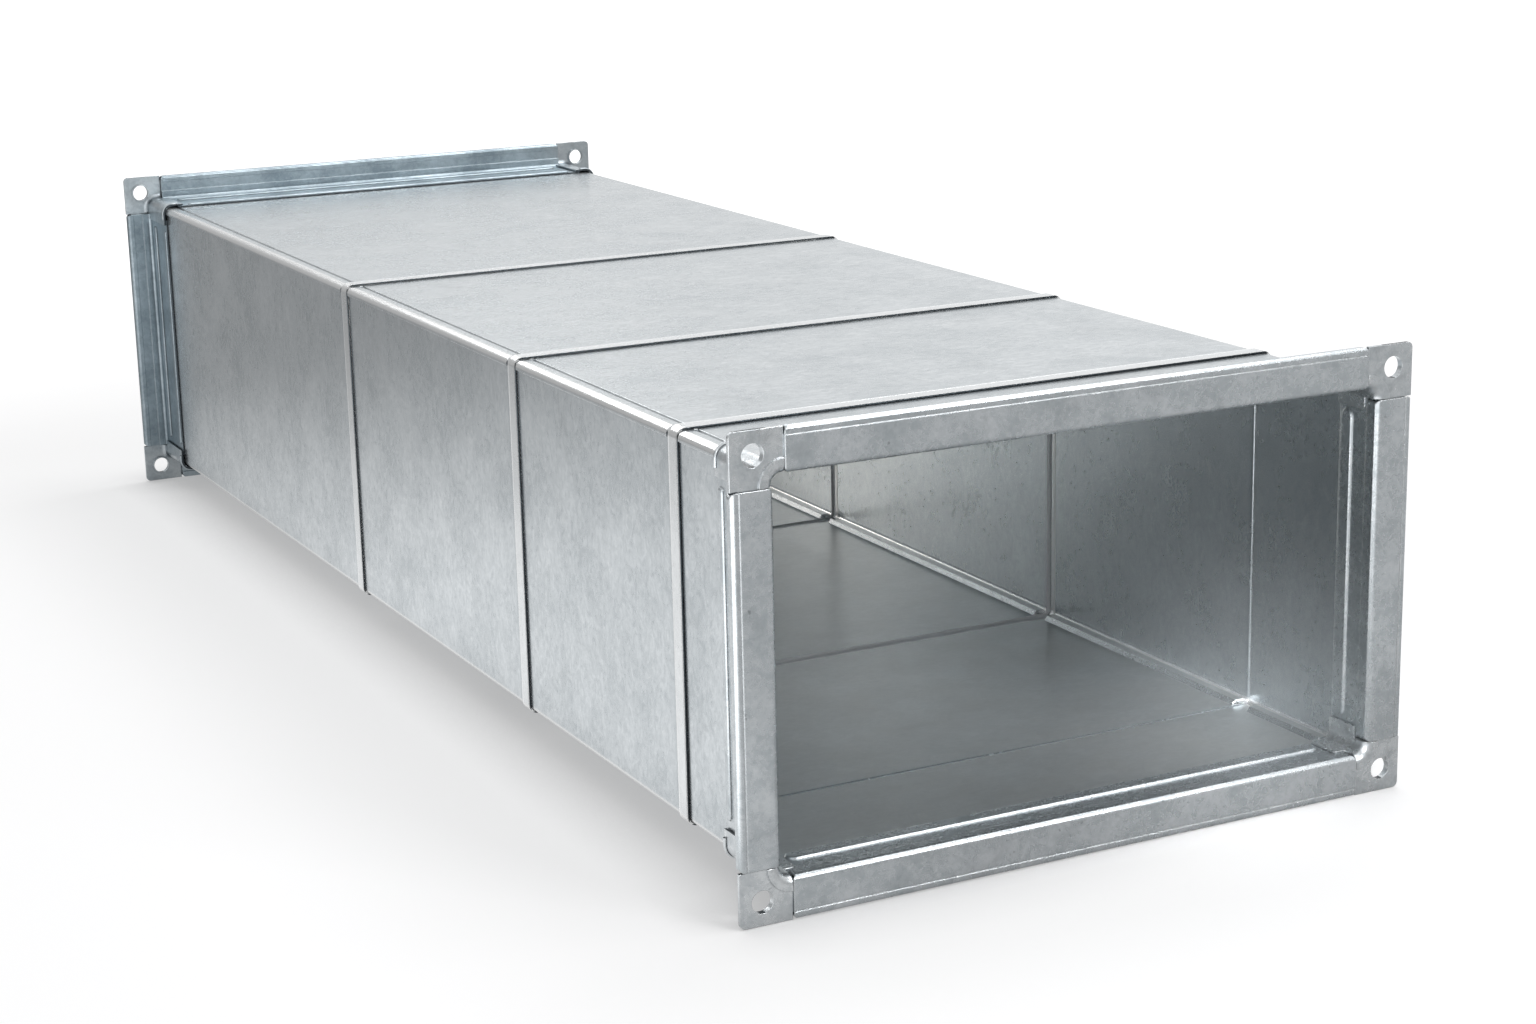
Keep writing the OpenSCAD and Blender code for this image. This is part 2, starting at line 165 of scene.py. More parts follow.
def makeRoom(values):
    # White to the camera and in reflections, dimmer on some sides, and quieter as plain light
    world = bpy.data.worlds.new("studioRoom")
    bpy.context.scene.world = world
    world.use_nodes = True
    tree = world.node_tree
    tree.nodes.clear()
    way = newNode(tree, "ShaderNodeTexCoord", -1400, -300).outputs["Generated"]
    mirror = values["mirrorWhite"]
    for row, side in enumerate(values["dimSides"]):
        y = -300 - 250 * row
        along = vectors(tree, "DOT_PRODUCT", way, side["towards"], -1200, y)
        share = mapped(tree, along, side["range"], (1.0, side["least"]), -1000, y)
        mirror = maths(tree, "MULTIPLY", share, mirror, -800, y)
    path = newNode(tree, "ShaderNodeLightPath", -1200, 100).outputs
    direct = maths(tree, "MAXIMUM", path["Is Camera Ray"], path["Is Transmission Ray"], -800, 100)
    seen = maths(tree, "MULTIPLY", direct, values["white"], -600, 100)
    plain = maths(tree, "MAXIMUM", seen, values["light"], -400, 100)
    strength = mixed(tree, path["Is Glossy Ray"], plain, mirror, -200, 0, "FLOAT")
    background = newNode(tree, "ShaderNodeBackground", 0, 0)
    feed(tree, background.inputs["Color"], (*white, 1))
    feed(tree, background.inputs["Strength"], strength)
    output = newNode(tree, "ShaderNodeOutputWorld", 200, 0)
    feed(tree, output.inputs["Surface"], background.outputs[0])


floorValues = {
    "size": 30.0,
    "drop": 0.0004,  # gap below the duct
    "colour": (0.46, 0.46, 0.465, 1),
    "lifts": (0.65, 1.0),  # glow for the camera near the duct and far from it
    "liftRange": (0.8, 1.8),  # metres from the middle
    "contactReach": 0.05,
    "contactRange": (0.45, 1.0),
    "contactShades": (0.55, 1.0),
    "contactSamples": 6,
    "mirrors": (1.08, 0.42),  # strength in reflections at the front and the rear
    "mirrorRange": (0.1, 0.9),  # metres along the duct
    "cards": {  # rectangles where the floor glows paler or darker, seen only in reflections: painted reflections
        "leftFar": {"x": (-9, -0.38), "y": (-0.45, 9), "soft": 0.1, "gain": 0.9},
        "frontRight": {"x": (-0.12, 9), "y": (-9, -0.53), "soft": 0.08, "gain": 0.5},
        "frontFoot": {"x": (-0.3, 0.5), "y": (-0.66, -0.5), "soft": 0.02, "gain": 0.66},
        "leftFront": {"x": (-9, -0.32), "y": (-9, -0.52), "soft": 0.08, "gain": 2.4},
        "right": {"x": (0.38, 9), "y": (-0.5, 0.6), "soft": 0.1, "gain": 0.5},
    },
}


def reflectionPatchMask(tree, place, reflectionPatch, x, y):
    # 1 inside the rectangle of a painted reflection patch on the floor, fading out over its soft border
    mask = 1.0
    soft = reflectionPatch["soft"]
    for row, axis in enumerate(("X", "Y")):
        low, high = reflectionPatch[axis.lower()]
        for border in ((low - soft, low + soft), (high + soft, high - soft)):
            ramp = mapped(tree, place[axis], border, zeroToOne, x, y - 200 * row)
            mask = maths(tree, "MULTIPLY", ramp, mask, x + 200, y - 200 * row)
    return mask


def makeFloorPaper(values):
    material, tree = newMaterial("paperFloor")
    vector = newNode(tree, "ShaderNodeTexCoord", -1800, 0).outputs["Object"]
    path = newNode(tree, "ShaderNodeLightPath", -600, 0).outputs
    contact = newNode(tree, "ShaderNodeAmbientOcclusion", -900, 150, samples=values["contactSamples"])
    feed(tree, contact.inputs["Distance"], values["contactReach"])
    shade = mapped(tree, contact.outputs["AO"], values["contactRange"], values["contactShades"], -700, 150)
    # paint that takes shadows, with a glow for the camera alone that fades where the duct stands: a
    # painted contact shadow from the duct's ambient occlusion
    paint = newNode(tree, "ShaderNodeBsdfDiffuse", 0, 200)
    feed(tree, paint.inputs["Color"], values["colour"])
    reach = vectors(tree, "LENGTH", vector, None, -700, 300)
    paleness = mapped(tree, reach, values["liftRange"], values["lifts"], -500, 300)
    paleness = maths(tree, "MULTIPLY", paleness, shade, -350, 200)
    lift = newNode(tree, "ShaderNodeEmission", 0, 50)
    feed(tree, lift.inputs["Strength"], maths(tree, "MULTIPLY", path["Is Camera Ray"], paleness, -200, 50))
    lit = newNode(tree, "ShaderNodeAddShader", 200, 150)
    feed(tree, lit.inputs[0], paint.outputs[0])
    feed(tree, lit.inputs[1], lift.outputs[0])
    # what the metal reflects of the floor: a glow seen only in reflections, dimmer to the rear, paler and
    # darker in patches and darker near the duct: painted reflections with painted contact shade
    place = parted(tree, vector, -1600, -200)
    strength = mapped(tree, place["Y"], values["mirrorRange"], values["mirrors"], -600, -300)
    for row, reflectionPatch in enumerate(values["cards"].values()):
        mask = reflectionPatchMask(tree, place, reflectionPatch, -1300, -300 - 450 * row)
        share = mapped(tree, mask, zeroToOne, (1.0, reflectionPatch["gain"]), -700, -500 - 450 * row)
        strength = maths(tree, "MULTIPLY", strength, share, -400, -400 - 450 * row)
    mirror = newNode(tree, "ShaderNodeEmission", 0, -200)
    feed(tree, mirror.inputs["Strength"], maths(tree, "MULTIPLY", strength, shade, -200, -300))
    choice = newNode(tree, "ShaderNodeMixShader", 400, 0)
    feed(tree, choice.inputs[0], path["Is Glossy Ray"])
    feed(tree, choice.inputs[1], lit.outputs[0])
    feed(tree, choice.inputs[2], mirror.outputs[0])
    output = newNode(tree, "ShaderNodeOutputMaterial", 600, 0)
    feed(tree, output.inputs["Surface"], choice.outputs[0])
    return material


def makeFloor(values):
    mesh = bpy.data.meshes.new("floor")
    work = bmesh.new()
    bmesh.ops.create_grid(work, x_segments=1, y_segments=1, size=values["size"] / 2)
    bmesh.ops.translate(work, verts=work.verts, vec=(0, 0, -values["drop"]))
    work.to_mesh(mesh)
    work.free()
    floor = bpy.data.objects.new("floor", mesh)
    bpy.context.scene.collection.objects.link(floor)
    floor.data.materials.append(makeFloorPaper(values))


# Soft rectangles, or spots where a cone is given in degrees; power in watts, white unless coloured
lampValues = {
    "key": {"place": (1.1, 0.4, 2.5), "aim": (0, -0.1, 0.1), "size": (1.2, 1.2), "power": 22},
    "rearSoftbox": {"place": (-0.2, 2.8, 1.75), "aim": (0, 0, 0.2), "size": (3.0, 0.3), "power": 10},
    "frontSoftbox": {"place": (1.2, -1.3, 2.2), "aim": (0, -0.4, 0.1), "size": (1.2, 0.6), "power": 8},
    "leftFront": {"place": (-2.2, -2.2, 1.2), "aim": (0, -0.3, 0.1), "size": (1.0, 1.0), "power": 7},
    "frontInside": {"place": (0.9, -2.4, 1.5), "aim": (0, -0.4, 0.05), "size": (0.9, 0.6), "power": 20},
    "openingPanel": {"place": (-0.045, 0.53, 0.12), "aim": (-0.045, 0, 0.12), "size": (0.25, 0.195),
                     "power": 0.03, "colour": (1, 0.90, 0.80)},
    "cornerPool": {"place": (-0.6, -1.4, 0.6), "aim": (0.155, -0.43, 0.035), "cone": 7.5, "blend": 1.0,
                   "radius": 0.05, "power": 200},
    "floorPool": {"place": (0.3, -1.4, 0.75), "aim": (0.05, -0.42, 0.02), "cone": 10, "blend": 1.0,
                  "radius": 0.08, "power": 50},
    "openingCorner": {"place": (-0.1, 0.529, 0.134), "aim": (-0.1, 0, 0.134), "size": (0.14, 0.066),
                      "power": 0.135, "colour": (1, 0.93, 0.86)},
}


def makeLamp(name, values):
    data = bpy.data.lights.new(name, "SPOT" if "cone" in values else "AREA")
    if "cone" in values:
        data.spot_size = math.radians(values["cone"])
        data.spot_blend = values["blend"]
        data.shadow_soft_size = values["radius"]
    else:
        data.shape = "RECTANGLE"
        data.size, data.size_y = values["size"]
    data.energy = values["power"]
    data.color = values.get("colour", white)
    lamp = bpy.data.objects.new(name, data)
    lamp.location = values["place"]
    ray = Vector(values["aim"]) - Vector(values["place"])
    lamp.rotation_euler = ray.to_track_quat("-Z", "Y").to_euler()
    lamp.visible_camera = False
    bpy.context.scene.collection.objects.link(lamp)


makeRoom(roomValues)
makeFloor(floorValues)
for name, values in lampValues.items():
    makeLamp(name, values)
bpy.context.scene.view_settings.view_transform = "Standard"
print("studio lit")

# Sizes of the duct that the finishes follow, from the frame
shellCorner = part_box("front_course_upper_sheet")[1]
middle = (cadBox[0][2] + cadBox[1][2]) / 2
ductSizes = {
    "middle": middle,  # height of the duct's axis
    "halfWidth": shellCorner[0],  # from the axis to the sheet's outer faces
    "halfHeight": shellCorner[2] - middle,
    "halfLength": cadBox[1][1],
}


# Shader node groups shared by the zinc finishes
def newGroup(name, inputs, outputs):
    # a socket takes vectors where its value is a tuple, and numbers otherwise
    group = bpy.data.node_groups.new(name, "ShaderNodeTree")
    for direction, sockets in (("INPUT", inputs), ("OUTPUT", outputs)):
        for label, value in sockets.items():
            kind = "NodeSocketVector" if isinstance(value, tuple) else "NodeSocketFloat"
            socket = group.interface.new_socket(label, in_out=direction, socket_type=kind)
            socket.default_value = value
    given = newNode(group, "NodeGroupInput", -1200, 0).outputs
    made = newNode(group, "NodeGroupOutput", 900, 0).inputs
    return group, given, made


spangleValues = {
    "crystals": 420.0,
    "patches": 26.0,
    "wobble": {"Scale": 700.0, "Detail": 2.0},  # what makes the crystals' edges ragged
    "wobbleReach": 0.003,
    "cloud": {"Detail": 5.0, "Roughness": 0.6},
}


def makeSpangleGroup(values):
    # Zinc crystals: small cells of slightly different grey with ragged edges, over cloudy patches
    group, given, made = newGroup("zincSpangle", {
        "Vector": (0, 0, 0),
        "Crystals per metre": values["crystals"],
        "Patches per metre": values["patches"],
    }, {"Crystal": 0.0, "Patch": 0.0})
    wobble = noise(group, given["Vector"], values["wobble"], -1000, 300)["Color"]
    shift = vectors(group, "SCALE", wobble, values["wobbleReach"], -800, 300)
    moved = vectors(group, "ADD", given["Vector"], shift, -600, 300)
    cells = newNode(group, "ShaderNodeTexVoronoi", -400, 300, feature="F1")
    feed(group, cells.inputs["Vector"], moved)
    feed(group, cells.inputs["Scale"], given["Crystals per metre"])
    cellTone = newNode(group, "ShaderNodeSeparateColor", -200, 300)
    feed(group, cellTone.inputs[0], cells.outputs["Color"])
    feed(group, made["Crystal"], cellTone.outputs[0])
    cloud = {**values["cloud"], "Scale": given["Patches per metre"]}
    feed(group, made["Patch"], noise(group, given["Vector"], cloud, -400, 0)["Fac"])
    return group


streakValues = {
    "stretch": (60.0, 700.0, 60.0),
    "grain": {"Scale": 1.4, "Detail": 5.0, "Roughness": 0.6, "Distortion": 1.6},
}


def makeStreakGroup(values):
    # Wispy grain, stretched by its own amount along each axis
    group, given, made = newGroup("rollStreak", {
        "Vector": (0, 0, 0),
        "Stretch": values["stretch"],
    }, {"Tone": 0.0})
    stretched = vectors(group, "MULTIPLY", given["Vector"], given["Stretch"], -900, 0)
    feed(group, made["Tone"], noise(group, stretched, values["grain"], -600, 0)["Fac"])
    return group


scratchValues = {
    "scale": 60.0,
    "width": 0.012,
    "flow": {"Detail": 3.0, "Roughness": 0.6, "Distortion": 1.6},
    "level": 0.5,  # a hair line runs where the flow has this value
    "gate": {"Scale": 45.0, "Detail": 2.0, "Roughness": 0.5},
    "gateRange": (0.5, 0.62),
}


def makeScratchGroup(values):
    # Hair scratches that curl over the sheet, broken by a gate
    group, given, made = newGroup("hairScratch", {
        "Vector": (0, 0, 0),
        "Scale": values["scale"],
        "Width": values["width"],
    }, {"Mask": 0.0})
    flow = noise(group, given["Vector"], {**values["flow"], "Scale": given["Scale"]}, -800, 0)["Fac"]
    offset = maths(group, "SUBTRACT", flow, values["level"], -600, 0)
    near = maths(group, "DIVIDE", maths(group, "ABSOLUTE", offset, None, -400, 0), given["Width"], -200, 0)
    line = maths(group, "SUBTRACT", 1.0, near, 0, 0, clamp=True)
    gate = noise(group, given["Vector"], values["gate"], -400, -300)["Fac"]
    gate = mapped(group, gate, values["gateRange"], zeroToOne, -200, -300)
    feed(group, made["Mask"], maths(group, "MULTIPLY", line, gate, 300, 0))
    return group


edgeValues = {
    "radius": 0.0006,
    "samples": 6,
    "leanRange": (0.985, 0.8),  # cosine between the two normals
}


def makeEdgeGroup(values):
    # Rubbed edges, partly painted edge highlights: where the rounded normal leaves the true one
    group, given, made = newGroup("rubbedEdge", {"Radius": values["radius"]},
                                  {"Mask": 0.0, "Normal": (0, 0, 0)})
    rounded = newNode(group, "ShaderNodeBevel", -800, 0, samples=values["samples"])
    feed(group, rounded.inputs["Radius"], given["Radius"])
    true = newNode(group, "ShaderNodeNewGeometry", -800, -300).outputs["True Normal"]
    lean = vectors(group, "DOT_PRODUCT", rounded.outputs[0], true, -500, 0)
    feed(group, made["Mask"], mapped(group, lean, values["leanRange"], zeroToOne, -200, 0))
    feed(group, made["Normal"], rounded.outputs[0])
    return group


bendValues = {
    "beyond": 0.0002,  # the reach starts this far outside the sheet
    "reach": 0.0045,
    "fade": (1.0, 0.7),
}


def makeBendGroup(values):
    # Bends burnished by the folding tool, with a painted highlight: near the four long corners of the duct
    group, given, made = newGroup("burnishedBend", {
        "Vector": (0, 0, 0),
        "Half width": ductSizes["halfWidth"] + values["beyond"],
        "Half height": ductSizes["halfHeight"] + values["beyond"],
        "Middle": ductSizes["middle"],
        "Reach": values["reach"],
    }, {"Mask": 0.0})
    place = parted(group, given["Vector"], -1000, 0)
    beside = maths(group, "ABSOLUTE", place["X"], None, -800, 200)
    above = maths(group, "SUBTRACT", place["Z"], given["Middle"], -800, -100)
    above = maths(group, "ABSOLUTE", above, None, -600, -100)
    far = maths(group, "MAXIMUM",
                maths(group, "SUBTRACT", given["Half width"], beside, -600, 200),
                maths(group, "SUBTRACT", given["Half height"], above, -400, -100), -200, 0)
    share = maths(group, "DIVIDE", far, given["Reach"], 0, 0)
    feed(group, made["Mask"], mapped(group, share, values["fade"], zeroToOne, 200, 0))
    return group


collarValues = {
    "land": 0.010,
    "rim": 0.0012,
    "shoulder": 0.0025,
    "landStart": (-0.0002, 0.0),  # metres behind the front edge
    "landEnd": (0.0004, 0.0),  # metres behind the land
    "stepStart": (-0.1, 0.1),  # this and the next three in shoulder widths behind the land
    "stepEnd": (1.1, 0.9),
    "valleyStart": (0.3, 1.0),
    "valleyEnd": (2.4, 1.2),
}


def makeCollarGroup(values):
    # A swaged collar's masks: a land and a rim at each edge for painted highlights, and a soft valley
    # behind its shoulder for painted shade
    group, given, made = newGroup("swagedCollar", {
        "Vector": (0, 0, 0),
        "Front edge": 0.0,
        "Land": values["land"],
        "Rim": values["rim"],
        "Shoulder": values["shoulder"],
    }, {"Land": 0.0, "Rim": 0.0, "Step": 0.0, "Valley": 0.0})
    along = parted(group, given["Vector"], -1000, 0)["Y"]
    depth = maths(group, "SUBTRACT", along, given["Front edge"], -800, 0)
    back = maths(group, "SUBTRACT", given["Land"], depth, -600, -200)
    behind = maths(group, "SUBTRACT", 0.0, back, -400, -400)
    inside = maths(group, "MINIMUM", mapped(group, depth, values["landStart"], zeroToOne, -600, 100),
                   mapped(group, behind, values["landEnd"], zeroToOne, -200, 100), 0, 100)
    feed(group, made["Land"], inside)
    fromRims = maths(group, "MINIMUM", maths(group, "ABSOLUTE", depth, None, -600, 300),
                     maths(group, "ABSOLUTE", back, None, -400, 300), -200, 300)
    share = maths(group, "DIVIDE", fromRims, given["Rim"], 0, 300)
    feed(group, made["Rim"], maths(group, "SUBTRACT", 1.0, share, 200, 300, clamp=True))
    slope = maths(group, "DIVIDE", behind, given["Shoulder"], 0, -400)
    for label, start, end, y in (("Step", "stepStart", "stepEnd", -50),
                                 ("Valley", "valleyStart", "valleyEnd", -300)):
        rise = mapped(group, slope, values[start], zeroToOne, 200, y)
        fall = mapped(group, slope, values[end], zeroToOne, 200, y - 150)
        feed(group, made[label], maths(group, "MULTIPLY", rise, fall, 400, y))
    return group


cutValues = {
    "beyond": 0.0001,  # outside starts this far from the sheet
    "flange": 0.013,  # length left out at each end of the duct
    "square": 0.96,  # a face counts as square to an axis from here on
}


def makeCutGroup(values):
    # Cut edges outside, near black: bare steel darkened with painted shade for the gaps beside them; faces
    # square to the duct's length, short of the flanges' own faces, and the ends of the lips on the side
    # walls
    group, given, made = newGroup("cutEdge", {
        "Vector": (0, 0, 0),
        "Side": ductSizes["halfWidth"] + values["beyond"],
        "Half height": ductSizes["halfHeight"] + values["beyond"],
        "Middle": ductSizes["middle"],
        "Flange": ductSizes["halfLength"] - values["flange"],
    }, {"Mask": 0.0})
    place = parted(group, given["Vector"], -1000, 200)
    true = newNode(group, "ShaderNodeNewGeometry", -1200, -200).outputs["True Normal"]
    facing = parted(group, true, -1000, -200)

    def over(value, limit, x, y):
        size = maths(group, "ABSOLUTE", value, None, x, y)
        return maths(group, "GREATER_THAN", size, limit, x + 200, y)

    beside = over(place["X"], given["Side"], -800, -500)
    above = maths(group, "SUBTRACT", place["Z"], given["Middle"], -1000, 500)
    above = over(above, given["Half height"], -800, 500)
    outside = maths(group, "MAXIMUM", beside, above, -400, 500)
    inboard = maths(group, "SUBTRACT", outside, over(place["Y"], given["Flange"], -800, 300), -400, 300)
    ends = maths(group, "MULTIPLY", over(facing["Y"], values["square"], -800, 0), inboard, -200, 100)
    lips = maths(group, "MULTIPLY", over(facing["Z"], values["square"], -800, -300), beside, -200, -300)
    feed(group, made["Mask"], maths(group, "MAXIMUM", ends, lips, 0, 0))
    return group


innerValues = {
    "noEdge": 9.0,  # stands for a rear edge that isn't there
    "lineWidth": 0.0016,
    "inward": -0.01,  # a face looks into the duct where its normal goes against the way out by this
    "level": 0.9,  # dust settles on faces whose normal points up by this
    "film": {"Scale": 22.0, "Detail": 4.0, "Roughness": 0.6},
    "filmRange": (0.3, 0.7),
    "filmShares": (0.6, 1.0),
}


def makeInnerGroup(values):
    # Faces that look into the duct, the dust with painted shade on those below, and the painted highlight
    # line along a course's rear end
    group, given, made = newGroup("innerFace", {
        "Vector": (0, 0, 0),
        "Middle": ductSizes["middle"],
        "Rear edge": values["noEdge"],
        "Line": values["lineWidth"],
    }, {"Mask": 0.0, "Lip": 0.0, "Dust": 0.0})
    centre = newNode(group, "ShaderNodeCombineXYZ", -1100, 300)
    feed(group, centre.inputs["Z"], given["Middle"])
    outward = vectors(group, "SUBTRACT", given["Vector"], centre.outputs[0], -900, 200)
    outward = vectors(group, "MULTIPLY", outward, (1, 0, 1), -700, 200)
    true = newNode(group, "ShaderNodeNewGeometry", -700, -100).outputs["True Normal"]
    facing = vectors(group, "DOT_PRODUCT", outward, true, -500, 100)
    inner = maths(group, "LESS_THAN", facing, values["inward"], -300, 100)
    feed(group, made["Mask"], inner)
    settled = maths(group, "GREATER_THAN", parted(group, true, -500, 400)["Z"], values["level"], -300, 400)
    settled = maths(group, "MULTIPLY", settled, inner, -100, 400)
    film = noise(group, given["Vector"], values["film"], -300, 600)["Fac"]
    film = mapped(group, film, values["filmRange"], values["filmShares"], 0, 600)
    feed(group, made["Dust"], maths(group, "MULTIPLY", settled, film, 200, 400))
    along = parted(group, given["Vector"], -700, -400)["Y"]
    before = maths(group, "SUBTRACT", given["Rear edge"], along, -500, -400)
    near = maths(group, "LESS_THAN", before, given["Line"], -300, -400)
    feed(group, made["Lip"], maths(group, "MULTIPLY", near, inner, 0, -300))
    return group


stainValues = {
    "scale": 55.0,
    "cloud": {"Detail": 5.0, "Roughness": 0.62, "Distortion": 0.6},
    "cloudRange": (0.54, 0.72),
    "pits": 260.0,
    "speck": {"Detail": 2.0, "Roughness": 0.5},
    "speckRange": (0.74, 0.79),
}


def makeStainGroup(values):
    # Dull smudges where hands and oil were, and small dark pits
    group, given, made = newGroup("handlingStain", {
        "Vector": (0, 0, 0),
        "Scale": values["scale"],
        "Pits per metre": values["pits"],
    }, {"Smudge": 0.0, "Pit": 0.0})
    cloud = {**values["cloud"], "Scale": given["Scale"]}
    cloud = noise(group, given["Vector"], cloud, -600, 200)["Fac"]
    feed(group, made["Smudge"], mapped(group, cloud, values["cloudRange"], zeroToOne, -300, 200))
    speck = {**values["speck"], "Scale": given["Pits per metre"]}
    speck = noise(group, given["Vector"], speck, -600, -200)["Fac"]
    feed(group, made["Pit"], mapped(group, speck, values["speckRange"], zeroToOne, -300, -200))
    return group


creaseValues = {
    "reach": 0.0009,
    "samples": 4,
    "opennessRange": (0.85, 0.45),
}


def makeCreaseGroup(values):
    # Painted shade where another sheet lies close by, from ambient occlusion
    group, given, made = newGroup("creaseGrime", {"Reach": values["reach"]}, {"Mask": 0.0})
    closeness = newNode(group, "ShaderNodeAmbientOcclusion", -400, 0, samples=values["samples"])
    feed(group, closeness.inputs["Distance"], given["Reach"])
    grime = mapped(group, closeness.outputs["AO"], values["opennessRange"], zeroToOne, 0, 0)
    feed(group, made["Mask"], grime)
    return group


groups = {
    "spangle": makeSpangleGroup(spangleValues),
    "streak": makeStreakGroup(streakValues),
    "scratch": makeScratchGroup(scratchValues),
    "edge": makeEdgeGroup(edgeValues),
    "bend": makeBendGroup(bendValues),
    "collar": makeCollarGroup(collarValues),
    "cut": makeCutGroup(cutValues),
    "inner": makeInnerGroup(innerValues),
    "stain": makeStainGroup(stainValues),
    "crease": makeCreaseGroup(creaseValues),
}


def placed(tree, kind, vector, x, y, **values):
    # one of the groups; an underscore in a socket's name stands for a space
    node = newNode(tree, "ShaderNodeGroup", x, y, node_tree=groups[kind])
    if vector is not None:
        feed(tree, node.inputs["Vector"], vector)
    for name, value in values.items():
        feed(tree, node.inputs[name.replace("_", " ")], value)
    return node.outputs


def weighted(tree, parts, x, y):
    # sum of each socket times its share
    total = 0.0
    for row, (socket, share) in enumerate(parts):
        part = maths(tree, "MULTIPLY", socket, share, x, y - 150 * row)
        total = maths(tree, "ADD", part, total, x + 180, y - 150 * row)
    return total


def tinted(tree, colour, other, mask, share, x, y):
    # the colour goes towards the other one by the mask times the share
    return mixed(tree, maths(tree, "MULTIPLY", mask, share, x - 180, y - 200), colour, other, x, y)


def bumped(tree, height, normal, strength, depth, x, y):
    bump = newNode(tree, "ShaderNodeBump", x, y)
    feed(tree, bump.inputs["Height"], height)
    feed(tree, bump.inputs["Normal"], normal)
    feed(tree, bump.inputs["Strength"], strength)
    feed(tree, bump.inputs["Distance"], depth)
    return bump.outputs[0]


sheetValues = {
    # near black: bare steel, and painted shade for creases and cut edges
    "bareSteel": (0.06, 0.07, 0.078, 1),
    "toneRange": (0.36, 0.62),
    "calmTone": 0.5,
    "furrowScale": 1.7,  # dark hair lines against the bright ones
    "smudgeDark": 0.6,
    # how dark the painted shade in creases is
    "grime": 0.35,
    "relief": (0.8, -0.3, -0.3),  # grain, bright and dark hair lines
    "reliefDepth": 0.001,
}


def sheetLook(tree, vector, values, inner):
    # Zinc with patches, grain, hair lines, smudges, and rubbed edges that are partly painted highlights;
    # calmer inside the duct
    spangle = placed(tree, "spangle", vector, -1700, 400,
                     Crystals_per_metre=values["crystals"], Patches_per_metre=values["patches"])
    streak = placed(tree, "streak", vector, -1700, 200, Stretch=values["stretch"])["Tone"]
    scratch = placed(tree, "scratch", vector, -1700, 0, Scale=values["scratches"])["Mask"]
    furrowScale = values["scratches"] * sheetValues["furrowScale"]
    furrow = placed(tree, "scratch", vector, -1700, -200, Scale=furrowScale)["Mask"]
    edge = placed(tree, "edge", None, -1700, -400, Radius=values["edge"])
    stain = placed(tree, "stain", vector, -1700, -800, Scale=values["stain"])
    tones = zip((spangle["Crystal"], spangle["Patch"], streak), values["shares"])
    tone = mapped(tree, weighted(tree, tones, -1400, 500), sheetValues["toneRange"], zeroToOne, -1000, 450)
    if inner is not None:
        calm = maths(tree, "MULTIPLY", inner["Mask"], values["calm"], -1000, 700)
        tone = mixed(tree, calm, tone, sheetValues["calmTone"], -900, 600, "FLOAT")
    dull = tuple(sheetValues["smudgeDark"] * part for part in values["dark"][:3]) + (1,)
    colour = mixed(tree, tone, values["dark"], values["light"], -800, 450)
    colour = tinted(tree, colour, values["dark"], furrow, values["scratch"], -600, 450)
    colour = tinted(tree, colour, values["rubbed"], scratch, values["scratch"], -400, 450)
    colour = tinted(tree, colour, dull, stain["Smudge"], values["smudge"], -200, 450)
    reliefs = zip((streak, scratch, furrow), sheetValues["relief"])
    return {
        "tone": tone,
        "colour": colour,
        "height": weighted(tree, reliefs, -1200, -1300),
        # edges made paler and smoother: partly wear, partly painted highlight
        "shiny": maths(tree, "MULTIPLY", edge["Mask"], values["wear"], -1100, -400),
        "normal": edge["Normal"],
        "pit": maths(tree, "MULTIPLY", stain["Pit"], values["pit"], -500, -600),
    }


insideValues = {
    "relief": 0.2,
    "bendWear": 0.95,
    "dustRough": 0.36,
    "dustMetallic": 0.6,
    "lineRough": 0.4,
    "lineMetallic": 0.2,
}


def addInside(tree, vector, values, look, inner):
    # A course: dust with painted shade on the inner bottom, less relief inside, burnished bends with
    # painted highlights, and a painted highlight line at its rear end
    # dust and painted shade: a darker, duller film on the inner floor
    look["dust"] = maths(tree, "MULTIPLY", inner["Dust"], values["dusty"], -700, 800)
    look["colour"] = mixed(tree, look["dust"], look["colour"], values["dust"], -250, 700)
    share = mapped(tree, inner["Mask"], zeroToOne, (1.0, insideValues["relief"]), -900, -1500)
    look["height"] = maths(tree, "MULTIPLY", look["height"], share, -700, -1400)
    # the line along a course's rear end inside: a painted highlight
    look["lines"] = inner["Lip"]
    # painted highlight along the long bends, paler and smoother
    bend = placed(tree, "bend", vector, -1700, -1000)["Mask"]
    bend = maths(tree, "MULTIPLY", bend, insideValues["bendWear"], -1300, -1000)
    look["shiny"] = maths(tree, "MAXIMUM", look["shiny"], bend, -900, -400)


swageValues = {
    "land": 0.55,
    "grooveLand": 0.3,
    "valley": 0.5,
    "rimStrength": 1.0,
    "rimDepth": 0.00035,
}


